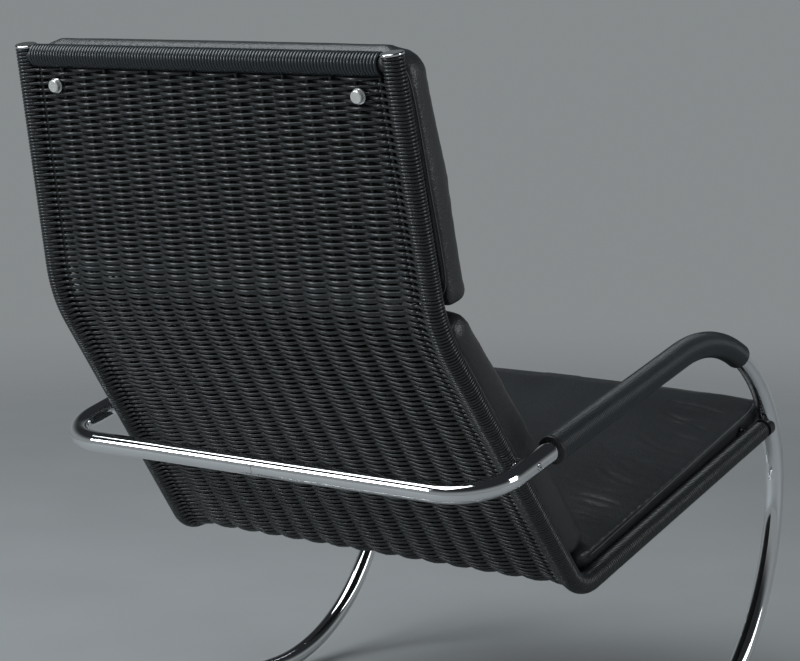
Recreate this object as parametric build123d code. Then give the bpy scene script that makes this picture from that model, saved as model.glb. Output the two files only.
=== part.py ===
from build123d import *
from math import cos, pi, radians, sin, sqrt, tan
import os

# A cantilever lounge chair. Two chromed tubes, each bent from a rear bar along
# an arm, round a bow and back along the floor, carry a wicker shell on bent
# steel side tubes. Three leather cushions lie in the shell.
#
# Side views are drawn as (front, up): front is the distance ahead of the rear
# bar's centreline, up is the height above the floor. X is across the chair.
# "right" and "left" are the sitter's, so right is -X. All sizes are in mm.

# --- Driving dimensions ---

# Chromed frame, to the tube's centreline
tube_od = 25.0
tube_wall = 2.0
frame_half = 325.0
bar_height = 420.5
rear_corner_radius = 68.0
arm_rise = 13.5
arm_straight = 453.0
top_radius = 219.0
top_turn = 100.7
front_radius = 315.0
front_turn = 42.5
floor_bar_back = 6.0
floor_corner_radius = 72.0

# Joint pins in the rear bar and the floor bar
pin_length = 90.0
pin_clearance = 0.1
pin_chamfer = 1.5

# Floor glides
glide_height = 3.0
glide_width = 17.0
glide_length = 34.0
glide_wrap = 5.0
glide_chamfer = 2.8
glide_front_at = 392.0
glide_rear_at = 96.0

# Shell frame, to the side tubes' centreline
shell_tube_od = 19.0
shell_tube_wall = 1.5
bend_front = 232.5
bend_drop = 155.7
seat_slope = 16.7
lower_back = 435.6
lower_lean = 37.6
upper_back = 310.8
upper_lean = 12.0
top_inset = 56.0
neck_inset = 42.0
bend_inset = 19.0
seat_bend_radius = 43.0
neck_bend_radius = 180.0
top_bar_drop = 10.2
top_bar_od = 19.0
front_bar_back = 34.0

# Wicker
strand = 3.5
bar_strand = 4.5
stake_d = 4.5
stake_count = 14
stake_share = 0.1226
edge_rod_inset = 20.5
edge_lobe_share = 0.9
bend_steps = 4

# Caps and plugs of the shell tubes
cap_thickness = 2.8
cap_overlap = 0.5
cap_round = 1.6
plug_depth = 14.0
plug_flange = 6.0
plug_saddle = 5.0

# Rear fixing, arm to shell
bolt_d = 6.0
bolt_head_d = 8.4
bolt_head = 4.0
bolt_proud = 0.8
bolt_socket = 4.0
spacer_od = 15.0
bush_od = 9.0
bush_length = 9.0
bush_inset = 1.4
bolt_grip = 7.2

# Front fixing, leg to shell
screw_d = 6.0
screw_head_d = 11.0
screw_head = 3.0
screw_grip = 8.4

# Armrest windings
arm_wrap = 4.5
arm_wrap_start = 148.0
arm_wrap_turn = 43.0
arm_wrap_round = 2.5
ring_width = 5.0
ring_thickness = 5.2
ring_round = 1.7

# Cushion holders
knob_beside = 7.0
knob_drop = 44.5
knob_d = 15.0
knob_thickness = 6.0
knob_chamfer = 1.0
washer_d = 18.0
washer_thickness = 1.4
stud_d = 5.0
stud_disc_d = 26.0
stud_disc = 2.0
stud_disc_depth = 4.0

# Leather cushions
head_start = 14.0
head_overhang = 6.0
head_rounds = (14.0, 34.0)
head_low_lap = 8.0
head_top_lap = 11.0
head_lift = 12.0
head_thickness = 38.0
head_crown = 13.0
head_bow = 5.0
back_start = 8.0
back_top_gap = 4.0
back_rounds = (12.0, 30.0)
back_lap = 8.0
back_lift = 16.0
neck_lift = 1.0
back_thickness = (44.0, 35.0)
back_crown = 13.0
back_bow = 3.0
seat_start = 26.0
seat_overhang = 20.0
seat_rounds = (16.0, 14.0)
seat_side_gap = 3.0
seat_thickness = 24.0
seat_crown = 9.0
seat_bed_reach = 180.0
cushion_side_bulge = 5.0
cushion_end_thinning = 0.75
cushion_end_shares = (0.0, 0.3, 0.7, 1.0)
under_crown = 6.0

# Clearances
slide_clearance = 0.2
seat_clearance = 0.3

# --- Sizes that follow ---

tube_r = tube_od / 2
bore_r = tube_r - tube_wall
floor_line = glide_height + tube_r
shell_r = shell_tube_od / 2
shell_bore_r = shell_r - shell_tube_wall
wrap_r = shell_r + strand
wrap_clear = wrap_r + seat_clearance
lobe = stake_d / 2 + strand
web = strand / 2
bar_wrap_r = top_bar_od / 2 + bar_strand
ring_r = tube_r + ring_thickness
top_half = frame_half - top_inset
neck_half = frame_half - neck_inset
bend_half = frame_half - bend_inset


def at(front, up, x=0.0):
    """A point of the side view, at x across the chair."""
    return Vector(x, -front, up)


def ahead(angle):
    """The (front, up) direction at an angle above the floor, in degrees."""
    return cos(radians(angle)), sin(radians(angle))


def along(start, angle, length):
    """The (front, up) point at a length from start."""
    front, up = ahead(angle)
    return start[0] + length * front, start[1] + length * up


def right_turn(start, heading, radius, turn):
    """Middle and end point of an arc that bends downwards from a heading."""
    centre = along(start, heading - 90, radius)
    middle = along(centre, heading + 90 - turn / 2, radius)
    end = along(centre, heading + 90 - turn, radius)
    return middle, end


def mirrored(shape):
    """The same piece on the sitter's left."""
    return mirror(shape, about=Plane.YZ)


def rounded(points, radii):
    """A wire through 3-D points, with an arc of the given radius at each inner one."""
    edges = []
    last = points[0]
    for before, corner, after, radius in zip(points, points[1:], points[2:], radii):
        back = (before - corner).normalized()
        on = (after - corner).normalized()
        half = radians(back.get_angle(on)) / 2
        reach = radius / tan(half)
        middle = (back + on).normalized() * (radius / sin(half) - radius)
        edges.append(Line(last, corner + back * reach))
        arc = ThreePointArc(corner + back * reach, corner + middle, corner + on * reach)
        edges.append(arc)
        last = corner + on * reach
    edges.append(Line(last, points[-1]))
    return Wire(edges)


def tube_along(path, outer, inner=0.0):
    """A round rod, or a tube with a bore, swept along a wire."""
    section = Circle(outer)
    if inner > 0:
        section -= Circle(inner)
    start = Plane(origin=path @ 0, z_dir=path % 0)
    return sweep(start * section, path=path)


def rod(start, end, radius, inner=0.0):
    """A straight rod or tube between two points."""
    section = Circle(radius)
    if inner > 0:
        section -= Circle(inner)
    direction = end - start
    return extrude(Plane(origin=start, z_dir=direction) * section, amount=direction.length)


# --- The frame's side view ---

corner = (0.0, bar_height)
arm_end = along(corner, arm_rise, arm_straight)
top_middle, top_end = right_turn(arm_end, arm_rise, top_radius, top_turn)
bow_heading = arm_rise - top_turn
front_middle, front_end = right_turn(top_end, bow_heading, front_radius, front_turn)
low_heading = bow_heading - front_turn
low_radius = (front_end[1] - floor_line) / (1 + cos(radians(low_heading)))
low_turn = 180 + low_heading
low_middle, low_end = right_turn(front_end, low_heading, low_radius, low_turn)
top_centre = along(arm_end, arm_rise - 90, top_radius)


def frame_path(x):
    """Centreline of one half of the frame, from the rear bar's middle to the floor bar's."""
    side = -1 if x < 0 else 1
    front, up = ahead(arm_rise)
    r = rear_corner_radius
    bar_end = Vector(x - side * r, 0, bar_height)
    arm_start = Vector(x, -r * front, bar_height + r * up)
    inset = r * (1 - sqrt(0.5))
    bend = Vector(x - side * inset, -inset * front, bar_height + inset * up)
    f = floor_corner_radius
    fold = f * (1 - sqrt(0.5))
    runner_end = at(f - floor_bar_back, floor_line, x)
    floor_bend = at(fold - floor_bar_back, floor_line, x - side * fold)
    floor_start = at(-floor_bar_back, floor_line, x - side * f)
    return Wire(
        [
            Line(Vector(0, 0, bar_height), bar_end),
            ThreePointArc(bar_end, bend, arm_start),
            Line(arm_start, at(*arm_end, x)),
            ThreePointArc(at(*arm_end, x), at(*top_middle, x), at(*top_end, x)),
            ThreePointArc(at(*top_end, x), at(*front_middle, x), at(*front_end, x)),
            ThreePointArc(at(*front_end, x), at(*low_middle, x), at(*low_end, x)),
            Line(at(*low_end, x), runner_end),
            ThreePointArc(runner_end, floor_bend, floor_start),
            Line(floor_start, at(-floor_bar_back, floor_line, 0)),
        ]
    )


# --- The shell's side view ---

back_angle = 90 + lower_lean
head_angle = 90 + upper_lean
bend = (bend_front, bar_height - bend_drop)
neck = along(bend, back_angle, lower_back)
top = along(neck, head_angle, upper_back)


def seat_reach():
    """Distance from the bend, along the rail, to the leg's centreline."""
    front, up = ahead(seat_slope)
    gap_front = bend[0] - top_centre[0]
    gap_up = bend[1] - top_centre[1]
    b = gap_front * front + gap_up * up
    c = gap_front**2 + gap_up**2 - top_radius**2
    return -b + sqrt(b * b - c)


rail = seat_reach()
leg_point = along(bend, seat_slope, rail)
rail_end = rail - tube_r - plug_flange


def half_at(leg, distance):
    """Half width of the shell, to the side tube's centreline."""
    if leg == "seat":
        return bend_half + (frame_half - bend_half) * distance / rail
    if leg == "lower":
        return bend_half + (neck_half - bend_half) * distance / lower_back
    return neck_half + (top_half - neck_half) * distance / upper_back


def shell_frame(leg, distance, inward=0.0):
    """The (front, up) point on one leg of the side view, set in from its surface."""
    start, angle = {
        "seat": (bend, seat_slope),
        "lower": (bend, back_angle),
        "upper": (neck, head_angle),
    }[leg]
    normal = angle + 90 if leg == "seat" else angle - 90
    return along(along(start, angle, distance), normal, inward)


def side_path(side):
    """Centreline of a side tube, from its top to its front end."""
    end = at(*shell_frame("seat", rail_end), side * half_at("seat", rail_end))
    points = [
        at(*top, side * top_half),
        at(*neck, side * neck_half),
        at(*bend, side * bend_half),
        end,
    ]
    return rounded(points, [neck_bend_radius, seat_bend_radius])


# --- Frame pieces ---

bolt_along = (bar_height - bend[1] + bend[0] * tan(radians(arm_rise))) / (
    cos(radians(lower_lean)) + sin(radians(lower_lean)) * tan(radians(arm_rise))
)
bolt_point = shell_frame("lower", bolt_along)
bolt_half = half_at("lower", bolt_along)


def frame_tube():
    """Right half of the chromed frame, drilled for its two fixings."""
    tube = tube_along(frame_path(-frame_half), tube_r, bore_r)
    outer = at(*bolt_point, -frame_half - tube_od)
    middle = at(*bolt_point, -frame_half)
    inner = at(*bolt_point, -frame_half + tube_od)
    tube -= rod(outer, middle, bolt_head_d / 2 + slide_clearance)
    tube -= rod(middle, inner, bolt_d / 2 + slide_clearance)
    tube -= rod(*screw_line(-tube_od, tube_od), screw_d / 2 + slide_clearance)
    return tube


def joint_pin(front, up):
    """Plain steel spigot that joins the two halves of a bar."""
    pin = Cylinder(bore_r - pin_clearance, pin_length, rotation=(0, 90, 0))
    pin = chamfer(pin.edges().filter_by(GeomType.CIRCLE), pin_chamfer)
    return Location(at(front, up)) * pin


def glide(front, x):
    """Saddle under a runner, flat on the floor, hollowed to the tube."""
    height = floor_line - glide_wrap
    block = Box(glide_width, glide_length, height, align=(Align.CENTER, Align.CENTER, Align.MIN))
    block = chamfer(block.edges().filter_by(Axis.Z), glide_chamfer)
    seat = rod(at(-glide_length, floor_line), at(glide_length, floor_line), tube_r + pin_clearance)
    return Location(Vector(x, -front, 0)) * (block - seat)


# --- Shell pieces ---


def side_tube():
    """Right side tube of the shell, bent at the neck and at the seat."""
    tube = tube_along(side_path(-1), shell_r, shell_bore_r)
    tube -= rod(
        at(*bolt_point, -bolt_half - shell_tube_od),
        at(*bolt_point, -bolt_half),
        bush_od / 2 + slide_clearance,
    )
    return tube


def side_wrap():
    """Wicker wound round the right side tube, open where the bars and the spacer meet it."""
    wrap = tube_along(side_path(-1), wrap_r, shell_r + pin_clearance)
    cut = slide_clearance
    wrap -= rod(
        at(*bolt_point, -bolt_half - shell_tube_od),
        at(*bolt_point, -bolt_half),
        spacer_od / 2 + cut,
    )
    for leg, place, radius in bars():
        inner = half_at(leg, place) - wrap_r * 2
        point = shell_frame(leg, place)
        wrap -= rod(at(*point, -half_at(leg, place)), at(*point, -inner), radius + cut)
    return wrap


def bars():
    """Leg, place and tube radius of the shell's two cross bars."""
    radius = top_bar_od / 2
    return [
        ("upper", upper_back - top_bar_drop, radius),
        ("seat", rail_end - front_bar_back, radius),
    ]


def cross_bar(leg, place, radius):
    """Cross bar, its ends shaped to the side tubes."""
    half = half_at(leg, place)
    point = shell_frame(leg, place)
    bar = rod(at(*point, -half), at(*point, half), radius, radius - shell_tube_wall)
    for side in (-1, 1):
        bar -= tube_along(side_path(side), shell_r + pin_clearance)
    return bar


def bar_wrap(leg, place, radius):
    """Wicker wound round a cross bar, between the two side windings."""
    half = half_at(leg, place)
    point = shell_frame(leg, place)
    wrap = rod(at(*point, -half), at(*point, half), bar_wrap_r, radius + pin_clearance)
    for side in (-1, 1):
        path = side_path(side)
        above = (path @ 0) - (path % 0) * bar_wrap_r
        wrap -= tube_along(path, wrap_clear)
        wrap -= rod(path @ 0, above, wrap_clear + cap_overlap)
    return wrap


def tube_cap():
    """Bright cap that closes the top of the right side tube."""
    lip = rounded_disc(wrap_r + cap_overlap, cap_thickness)
    stem = Cylinder(
        shell_bore_r - pin_clearance,
        plug_depth,
        align=(Align.CENTER, Align.CENTER, Align.MAX),
    )
    path = side_path(-1)
    plane = Plane(origin=(path @ 0) - (path % 0) * seat_clearance, z_dir=-(path % 0))
    return plane * (lip + stem)


def rounded_disc(radius, height):
    """A disc that stands on its plane, with its top edge rounded."""
    disc = Cylinder(radius, height, align=(Align.CENTER, Align.CENTER, Align.MIN))
    return fillet(disc.edges().sort_by(Axis.Z)[-1], cap_round)


def screw_line(start, end, x=-frame_half):
    """Two points on the rail's axis, measured from the leg's centreline."""
    return (
        at(*shell_frame("seat", rail + start), x),
        at(*shell_frame("seat", rail + end), x),
    )


def rail_plug():
    """Plug in the right rail's front end, hollowed to the leg and tapped for the screw."""
    path = side_path(-1)
    plane = Plane(origin=path @ 1, z_dir=path % 1)
    stem = Cylinder(
        shell_bore_r - pin_clearance,
        plug_depth + pin_clearance,
        align=(Align.CENTER, Align.CENTER, Align.MAX),
    )
    flange = Cylinder(
        wrap_r, plug_flange + plug_saddle, align=(Align.CENTER, Align.CENTER, Align.MIN)
    )
    plug = plane * Location((0, 0, pin_clearance)) * (stem + flange)
    plug -= tube_along(leg_path(), tube_r + seat_clearance)
    return plug - rod(*screw_line(-tube_od - plug_depth * 2, 0), screw_d / 2)


def leg_path():
    """The part of the right leg's centreline near the rail."""
    x = -frame_half
    return Wire([ThreePointArc(at(*arm_end, x), at(*top_middle, x), at(*top_end, x))])


def front_screw():
    """Screw through the right leg into the rail's plug."""
    reach = tube_r + plug_flange + screw_grip
    shank = rod(*screw_line(-reach, tube_r + pin_clearance), screw_d / 2 - pin_clearance)
    head = rod(*screw_line(0, tube_r + screw_head), screw_head_d / 2)
    head -= tube_along(leg_path(), tube_r + pin_clearance)
    return shank + head.solids().sort_by(Axis.Y)[0]


# --- Wicker panel ---


def stations():
    """Places along the panel: (front, up), the surface's angle and the shell's half width."""
    rows = []
    bar_clear = bar_wrap_r + seat_clearance
    first = bars()[0][1] - bar_clear
    neck_turn = lower_lean - upper_lean
    neck_reach = neck_bend_radius * tan(radians(neck_turn / 2))
    seat_turn = 180 - (back_angle - seat_slope)
    seat_reach_back = seat_bend_radius * tan(radians(seat_turn / 2))
    rows.append((shell_frame("upper", first), head_angle - 90, half_at("upper", first)))
    centre = shell_frame("upper", neck_reach, neck_bend_radius)
    for step in range(bend_steps + 1):
        share = step / bend_steps
        angle = head_angle - 90 + neck_turn * share
        point = along(centre, angle + 180, neck_bend_radius)
        low = half_at("lower", lower_back - neck_reach)
        high = half_at("upper", neck_reach)
        rows.append((point, angle, high + (low - high) * share))
    centre = shell_frame("lower", seat_reach_back, seat_bend_radius)
    for step in range(bend_steps + 1):
        share = step / bend_steps
        angle = back_angle - 90 + seat_turn * share
        point = along(centre, angle + 180, seat_bend_radius)
        low = half_at("lower", seat_reach_back)
        fore = half_at("seat", seat_reach_back)
        rows.append((point, angle, low + (fore - low) * share))
    last = bars()[1][1] - bar_clear
    rows.append((shell_frame("seat", last), seat_slope + 90, half_at("seat", last)))
    return rows


def plane_across(point, angle):
    """Plane across the shell: local x across the chair, local y along the given angle."""
    front, up = ahead(angle)
    across = Vector(1, 0, 0)
    return Plane(origin=at(*point), x_dir=across, z_dir=across.cross(Vector(0, -front, up)))


def stake_places(half):
    """Distances of the stakes from the middle plane."""
    pitch = stake_share * half
    return [(index - (stake_count - 1) / 2) * pitch for index in range(stake_count)]


def panel_outline(station):
    """Scalloped section: a lobe over each stake and edge rod, thin webs between them."""
    point, angle, half = station
    stake_half = stake_share * half / 2
    lobes = [(place, stake_half) for place in stake_places(half)]
    rod_place = half - edge_rod_inset
    rod_half = (edge_rod_inset - wrap_clear) * edge_lobe_share
    lobes = [(-rod_place, rod_half)] + lobes + [(rod_place, rod_half)]
    edge = half - wrap_clear
    sides = []
    for face in (1, -1):
        last = Vector(-edge, face * web)
        for place, width in lobes:
            start = Vector(place - width, face * web)
            if (start - last).length > 1e-3:
                sides.append(Line(last, start))
            last = Vector(place + width, face * web)
            sides.append(ThreePointArc(start, Vector(place, face * lobe), last))
        sides.append(Line(last, Vector(edge, face * web)))
    sides.append(Line((-edge, web), (-edge, -web)))
    sides.append(Line((edge, web), (edge, -web)))
    return plane_across(point, angle) * make_face(sides)


def panel_rod(place, radius):
    """A round rod inside the panel, its distance from the middle a function of half width."""
    rows = stations()
    points = [
        at(*rows[0][0], place(rows[0][2])),
        at(*neck, place(neck_half)),
        at(*bend, place(bend_half)),
        at(*rows[-1][0], place(rows[-1][2])),
    ]
    return tube_along(rounded(points, [neck_bend_radius, seat_bend_radius]), radius)


def stake_rods(radius):
    """The stakes that the wicker is woven over."""
    return [
        panel_rod(lambda half, i=index: stake_places(half)[i], radius)
        for index in range(stake_count)
    ]


def edge_rods(radius):
    """The two rods inside the panel's edges."""
    return [
        panel_rod(lambda half, s=side: s * (half - edge_rod_inset), radius) for side in (-1, 1)
    ]


def woven_panel():
    """The woven surface, from the top bar round the seat bend to the front bar."""
    panel = loft([panel_outline(row) for row in stations()], ruled=True)
    hollow = stake_d / 2 + pin_clearance
    panel -= stake_rods(hollow) + edge_rods(hollow)
    for side in (-1, 1):
        panel -= holder_rod(side, -tube_od, tube_od, stud_d / 2 + slide_clearance)
    return panel


# --- Cushion holders ---


def holder_rod(side, start, end, radius):
    """A rod square to the upper back, at one of the two knobs."""
    place = upper_back - knob_drop
    x = side * (stake_places(half_at("upper", place))[-1] + knob_beside)
    ends = [at(*shell_frame("upper", place, inward), x) for inward in (start, end)]
    return rod(*ends, radius)


washer_back = -lobe - seat_clearance
knob_back = washer_back - washer_thickness - pin_clearance
disc_back = wrap_clear + stud_disc_depth
disc_front = disc_back + stud_disc


def knob(side):
    """Flat round knob behind the panel, screwed on its stud."""
    body = holder_rod(side, knob_back, knob_back - knob_thickness, knob_d / 2)
    front, up = ahead(head_angle - 90)
    rim = body.edges().filter_by(GeomType.CIRCLE).sort_by(Axis((0, 0, 0), (0, -front, up)))[0]
    body = chamfer(rim, knob_chamfer)
    return body - holder_rod(side, 0, knob_back - knob_thickness / 2, stud_d / 2 + pin_clearance)


def washer(side):
    """Washer between knob and wicker."""
    ring = holder_rod(side, washer_back, washer_back - washer_thickness, washer_d / 2)
    return ring - holder_rod(side, 0, -tube_od, stud_d / 2 + slide_clearance)


def stud(side):
    """Stud through the panel, with a disc sewn in behind the head cushion's cover."""
    shank = holder_rod(side, knob_back - knob_thickness / 2, disc_back, stud_d / 2)
    return shank + holder_rod(side, disc_back, disc_front, stud_disc_d / 2)


# --- Rear fixing ---


def rear_bolt():
    """Socket-head bolt through the right arm into the side tube."""
    outer = -frame_half - tube_r - bolt_proud
    under = outer + bolt_head
    tip = -bolt_half - shell_r + bolt_grip
    head = rod(at(*bolt_point, outer), at(*bolt_point, under), bolt_head_d / 2)
    bolt = head + rod(at(*bolt_point, under), at(*bolt_point, tip), bolt_d / 2)
    socket = extrude(
        Plane(origin=at(*bolt_point, outer), z_dir=(1, 0, 0))
        * RegularPolygon(bolt_socket / 2, 6, major_radius=False),
        amount=bolt_head / 2,
    )
    return bolt - socket


def spacer():
    """Ring that holds the side tube off the arm."""
    outer = at(*bolt_point, -frame_half + tube_r + pin_clearance)
    inner = at(*bolt_point, -bolt_half)
    ring = rod(outer, inner, spacer_od / 2, bolt_d / 2 + slide_clearance)
    ring -= tube_along(side_path(-1), shell_r + pin_clearance)
    return ring.solids().sort_by(Axis.X)[0]


def bush():
    """Threaded bush set in the side tube's outer wall."""
    outer = at(*bolt_point, -bolt_half - shell_r + bush_inset)
    inner = at(*bolt_point, -bolt_half - shell_r + bush_inset + bush_length)
    return rod(outer, inner, bush_od / 2, bolt_d / 2 + pin_clearance)


# --- Armrest windings ---


def arm_wrap_path(x=-frame_half):
    """Centreline of the armrest winding."""
    middle, end = right_turn(arm_end, arm_rise, top_radius, arm_wrap_turn)
    start = along(corner, arm_rise, arm_wrap_start)
    return Wire(
        [
            Line(at(*start, x), at(*arm_end, x)),
            ThreePointArc(at(*arm_end, x), at(*middle, x), at(*end, x)),
        ]
    )


def armrest_wrap():
    """Fine winding round the right arm, its front end rounded off."""
    path = arm_wrap_path()
    wrap = tube_along(path, tube_r + arm_wrap, tube_r + pin_clearance)
    around = 2 * pi * (tube_r + arm_wrap)
    rims = wrap.edges().filter_by(lambda edge: abs(edge.length - around) < pin_clearance)
    return fillet(rims.sort_by_distance(path @ 1)[0], arm_wrap_round)


def armrest_ring():
    """Ring that closes the winding's rear end."""
    end = along(corner, arm_rise, arm_wrap_start - seat_clearance)
    start = along(corner, arm_rise, arm_wrap_start - seat_clearance - ring_width)
    ring = rod(at(*start, -frame_half), at(*end, -frame_half), ring_r, tube_r + pin_clearance)
    rims = ring.edges().filter_by(GeomType.CIRCLE).sort_by(SortBy.RADIUS)[-2:]
    return fillet(rims, ring_round)


# --- Cushions ---


def cushion_section(plane, half, thickness, crown, under, bulge):
    """Section of a boxed cushion: crowned front, bellied back, sides that swell a little."""
    low_left, low_right = Vector(-half, 0), Vector(half, 0)
    high_left, high_right = Vector(-half, thickness), Vector(half, thickness)
    belly = Line(low_left, low_right)
    if under > 0:
        belly = ThreePointArc(low_left, Vector(0, -under), low_right)
    sides = [
        belly,
        ThreePointArc(low_right, Vector(half + bulge, thickness / 2), high_right),
        ThreePointArc(high_right, Vector(0, thickness + crown), high_left),
        ThreePointArc(high_left, Vector(-half - bulge, thickness / 2), low_left),
    ]
    return plane * make_face(sides)


def leg_normal(leg):
    """Angle of the direction out of one leg's front face."""
    return {"seat": seat_slope + 90, "lower": back_angle - 90, "upper": head_angle - 90}[leg]


def between(ends, share):
    """The value at a share of the way from the first of two to the second."""
    return ends[0] + (ends[1] - ends[0]) * share


def cushion(leg, start, length, halves, seats, rounds, thickness, bow, crown, under):
    """A cushion lofted along one leg of the shell, both ends drawn in and rounded.

    halves, seats, rounds and thickness hold the half width, the distance from the
    shell's surface, the end's rounding and the depth, at the low and the high end.
    bow is what the middle is deeper by.
    """
    sections = []
    draws = [(share, 1 - sqrt(1 - (1 - share) ** 2)) for share in cushion_end_shares]
    low_round, high_round = rounds
    places = [(low_round * share, low_round * draw, draw) for share, draw in draws]
    places += [(length / 2, 0.0, -bow / (between(thickness, 0.5) * cushion_end_thinning))]
    places += [
        (length - high_round * share, high_round * draw, draw) for share, draw in reversed(draws)
    ]
    for place, inset, draw in places:
        fill = 1 - draw * cushion_end_thinning
        half = between(halves, place / length) - inset - cushion_side_bulge
        deep = between(thickness, place / length)
        low = between(seats, place / length) + deep * max(1 - fill, 0) / 2
        deep *= fill
        plane = plane_across(shell_frame(leg, start + place, low), leg_normal(leg))
        sides = cushion_side_bulge * fill
        sections.append(cushion_section(plane, half, deep, crown * fill, under * fill, sides))
    return loft(sections, ruled=True)


def bar_hollow(leg, place):
    """The hollow that a wound cross bar presses into a cushion."""
    point = shell_frame(leg, place)
    ends = at(*point, -frame_half), at(*point, frame_half)
    return rod(*ends, bar_wrap_r + seat_clearance)


def head_cushion():
    """Upper cushion, hung on the two studs."""
    halves = neck_half + head_low_lap, top_half + head_top_lap
    seats = wrap_clear + head_lift, wrap_clear
    length = upper_back + head_overhang - head_start
    body = cushion(
        "upper", head_start, length, halves, seats, head_rounds,
        (head_thickness, head_thickness), head_bow, head_crown, under_crown,
    )
    body -= bar_hollow(*bars()[0][:2])
    for side in (-1, 1):
        body -= holder_rod(side, 0, disc_back, stud_d / 2 + slide_clearance)
        pocket = stud_disc_d / 2 + slide_clearance
        body -= holder_rod(side, disc_back - pin_clearance, disc_front + pin_clearance, pocket)
    return body


def back_cushion():
    """Lower back cushion, its low end hollowed to stand on the seat cushion's crown."""
    halves = neck_half + back_lap, neck_half + back_lap
    seats = wrap_clear + back_lift, wrap_clear + neck_lift
    length = lower_back - back_top_gap - back_start
    body = cushion(
        "lower", back_start, length, halves, seats, back_rounds,
        back_thickness, back_bow, back_crown, under_crown,
    )
    return body - seat_bed()


def seat_bed():
    """Room for the seat cushion's rear part: its crowned section, carried along the seat."""
    plane = plane_across(shell_frame("seat", seat_start, lobe), leg_normal("seat"))
    half = half_at("seat", seat_start)
    deep = seat_thickness + 2 * seat_clearance
    section = cushion_section(plane, half, deep, seat_crown, lobe, cushion_side_bulge)
    return extrude(section, amount=seat_bed_reach, both=True)


def seat_cushion():
    """Seat cushion, lying on the wicker and the front bar between the two rails."""
    end = rail + seat_overhang
    halves = [half_at("seat", place) - wrap_r - seat_side_gap for place in (seat_start, end)]
    seats = lobe + seat_clearance, lobe + seat_clearance
    body = cushion(
        "seat", seat_start, end - seat_start, halves, seats, seat_rounds,
        (seat_thickness, seat_thickness), 0.0, seat_crown, 0.0,
    )
    return body - bar_hollow(*bars()[1][:2])


# --- Assembly ---


def pair(name, shape):
    """A right piece and its mirror image."""
    return {name + "_right": shape, name + "_left": mirrored(shape)}


def build():
    """Every piece of the chair by node name."""
    nodes = {}
    nodes |= pair("frame_tube", frame_tube())
    nodes["rear_bar_pin"] = joint_pin(0, bar_height)
    nodes["floor_bar_pin"] = joint_pin(-floor_bar_back, floor_line)
    nodes |= pair("front_glide", glide(glide_front_at, -frame_half))
    nodes |= pair("rear_glide", glide(glide_rear_at, -frame_half))
    nodes |= pair("shell_side_tube", side_tube())
    nodes["shell_top_bar"] = cross_bar(*bars()[0])
    nodes["shell_front_bar"] = cross_bar(*bars()[1])
    nodes |= pair("side_wrap", side_wrap())
    nodes["top_bar_wrap"] = bar_wrap(*bars()[0])
    nodes["front_bar_wrap"] = bar_wrap(*bars()[1])
    nodes |= pair("tube_cap", tube_cap())
    nodes |= pair("rail_plug", rail_plug())
    nodes |= pair("front_screw", front_screw())
    nodes["woven_panel"] = woven_panel()
    stakes = stake_rods(stake_d / 2)
    nodes["wicker_stakes_right"] = Part() + stakes[: stake_count // 2]
    nodes["wicker_stakes_left"] = Part() + stakes[stake_count // 2 :]
    nodes |= pair("wicker_edge_rod", edge_rods(stake_d / 2)[0])
    nodes |= pair("rear_bolt", rear_bolt())
    nodes |= pair("shell_spacer", spacer())
    nodes |= pair("shell_bush", bush())
    nodes |= pair("armrest_wrap", armrest_wrap())
    nodes |= pair("armrest_ring", armrest_ring())
    for name, make in (("knob", knob), ("knob_washer", washer), ("cushion_stud", stud)):
        nodes[name + "_right"] = make(-1)
        nodes[name + "_left"] = make(1)
    nodes["head_cushion"] = head_cushion()
    nodes["back_cushion"] = back_cushion()
    nodes["seat_cushion"] = seat_cushion()
    return nodes


def write(nodes):
    """Set the chair's box over the origin and write one STEP file for each node."""
    boxes = [shape.bounding_box() for shape in nodes.values()]
    front = min(box.min.Y for box in boxes)
    back = max(box.max.Y for box in boxes)
    floor = min(box.min.Z for box in boxes)
    place = Location((0, -(front + back) / 2, -floor))
    os.makedirs("parts", exist_ok=True)
    for name, shape in nodes.items():
        export_step(place * shape, f"parts/{name}.step")


write(build())
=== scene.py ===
"""Looks of a cantilever lounge chair: woven cane, windings, leather cushions, chrome and a studio.

Side views are (front, up) in metres, as in the CAD: front is the distance ahead of the
rear bar's centreline and up the height above the floor. The sitter's right is -X.
"""

import bmesh
import bpy
import numpy as np
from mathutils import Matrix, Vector
from mathutils.bvhtree import BVHTree
from mathutils.kdtree import KDTree


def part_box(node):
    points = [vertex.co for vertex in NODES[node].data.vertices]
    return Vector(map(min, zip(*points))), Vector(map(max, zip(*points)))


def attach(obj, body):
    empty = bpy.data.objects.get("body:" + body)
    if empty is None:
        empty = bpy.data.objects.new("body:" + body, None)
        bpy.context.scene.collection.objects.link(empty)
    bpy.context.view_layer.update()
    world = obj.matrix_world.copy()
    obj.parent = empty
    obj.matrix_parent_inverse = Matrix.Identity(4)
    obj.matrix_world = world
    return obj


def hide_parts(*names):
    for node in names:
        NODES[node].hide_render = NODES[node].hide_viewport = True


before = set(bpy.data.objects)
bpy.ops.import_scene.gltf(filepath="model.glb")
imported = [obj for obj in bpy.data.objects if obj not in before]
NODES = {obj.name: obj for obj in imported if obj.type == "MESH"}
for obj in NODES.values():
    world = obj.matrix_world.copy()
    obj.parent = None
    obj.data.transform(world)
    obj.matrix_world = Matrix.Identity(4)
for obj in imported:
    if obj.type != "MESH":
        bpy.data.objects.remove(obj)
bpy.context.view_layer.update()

# --- Sizes shared with the CAD, in metres and degrees ---

REAR_BAR = sum(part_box("rear_bar_pin"), Vector()) / 2
BEND = np.array([0.2325, 0.2648])
SEAT_SLOPE = 16.7
BACK_ANGLE = 127.6
HEAD_ANGLE = 102.0
LOWER_BACK = 0.4356
UPPER_BACK = 0.3108
RAIL = 0.4605
NECK_RADIUS = 0.180
SEAT_RADIUS = 0.043
TOP_HALF = 0.269
NECK_HALF = 0.283
BEND_HALF = 0.306
RAIL_HALF = 0.3243

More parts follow.
